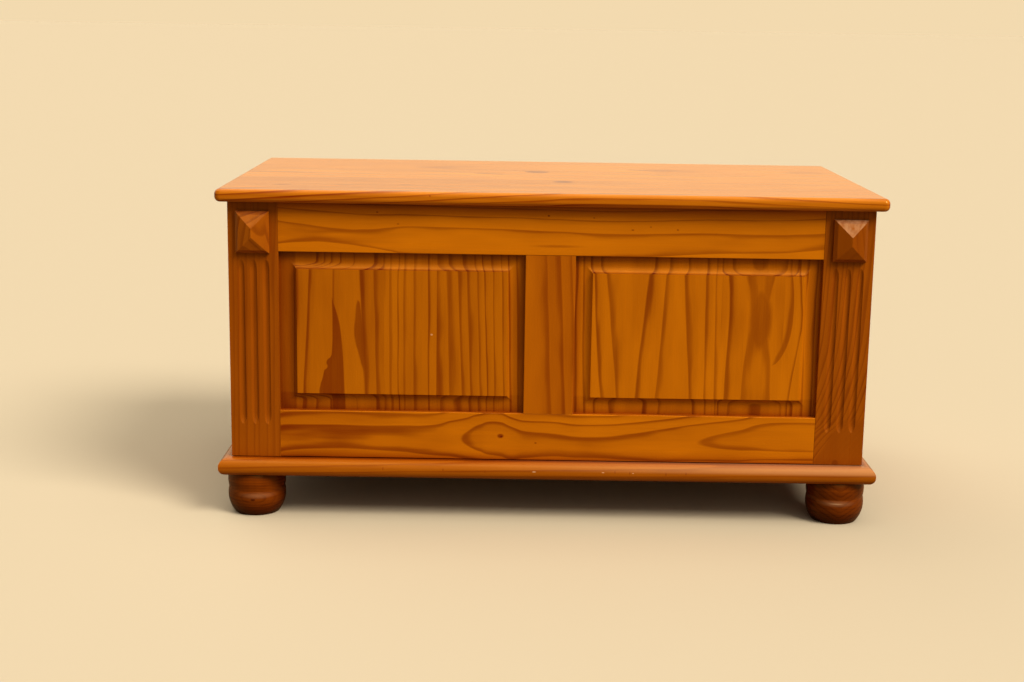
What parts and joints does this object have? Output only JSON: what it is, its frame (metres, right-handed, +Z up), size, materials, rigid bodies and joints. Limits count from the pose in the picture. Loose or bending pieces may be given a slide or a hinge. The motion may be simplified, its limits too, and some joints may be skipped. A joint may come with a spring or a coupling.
{
  "type": "blanket chest",
  "caption": "Low pine chest with a lift-up lid on butt hinges, a framed front with raised panels, fluted stiles with pyramid blocks, a rounded plinth and turned bun feet.",
  "frame": {"origin": "on the floor, under the middle of the lid", "axes": "+X to the right seen from the front, +Y to the back, +Z up"},
  "size_m": [0.934, 0.5, 0.471],
  "materials": {
    "pine_lid": "stained pine under gloss lacquer, grain along the length",
    "pine_rails": "stained pine under gloss lacquer",
    "pine_panels": "edge-glued stained pine under gloss lacquer, upright grain",
    "pine_stiles": "darker stained pine under gloss lacquer",
    "pine_plinth": "reddish stained pine under gloss lacquer, rubbed along the nosing",
    "pine_feet": "turned pine, dark reddish stain under gloss lacquer",
    "pine_sides": "edge-glued stained pine under gloss lacquer",
    "pine_inside": "planed pine, thin clear lacquer",
    "pine_plywood": "plain veneer, matt",
    "beech_dowels": "bare beech",
    "hinge_brass": "brassed steel, lightly worn",
    "screw_steel": "yellow-zinc plated"
  },
  "bodies": {
    "chest": {"back_board": "pine_sides", "bottom_board": "pine_plywood", "corner_dowels": "beech_dowels", "foot_back_left": "pine_feet", "foot_back_right": "pine_feet", "foot_dowels": "beech_dowels", "foot_front_left": "pine_feet", "foot_front_right": "pine_feet", "front_bottom_rail": "pine_rails", "front_frame_dowels": "beech_dowels", "front_muntin": "pine_rails", "front_panel_left": "pine_panels", "front_panel_right": "pine_panels", "front_stile_left": "pine_stiles", "front_stile_right": "pine_stiles", "front_top_rail": "pine_rails", "hinge_body_leaf_left": "hinge_brass", "hinge_body_leaf_right": "hinge_brass", "hinge_body_screws": "hinge_brass", "hinge_pin_left": "hinge_brass", "hinge_pin_right": "hinge_brass", "plinth_back": "pine_plinth", "plinth_dowels": "beech_dowels", "plinth_front": "pine_plinth", "plinth_left": "pine_plinth", "plinth_right": "pine_plinth", "plinth_screws": "screw_steel", "pyramid_block_left": "pine_stiles", "pyramid_block_right": "pine_stiles", "side_board_left": "pine_sides", "side_board_right": "pine_sides"},
    "lid": {"lid_board": "pine_lid", "lid_batten_left": "pine_inside", "lid_batten_right": "pine_inside", "lid_batten_screws": "screw_steel", "hinge_lid_leaf_left": "hinge_brass", "hinge_lid_leaf_right": "hinge_brass", "hinge_lid_screws": "hinge_brass"}
  },
  "joints": [
    {"name": "lid_hinge", "type": "hinge", "parent": "chest", "child": "lid", "pos_m": [0, 0.2384, 0.453], "axis": [-1, 0, 0], "range_deg": [0, 108]}
  ]
}
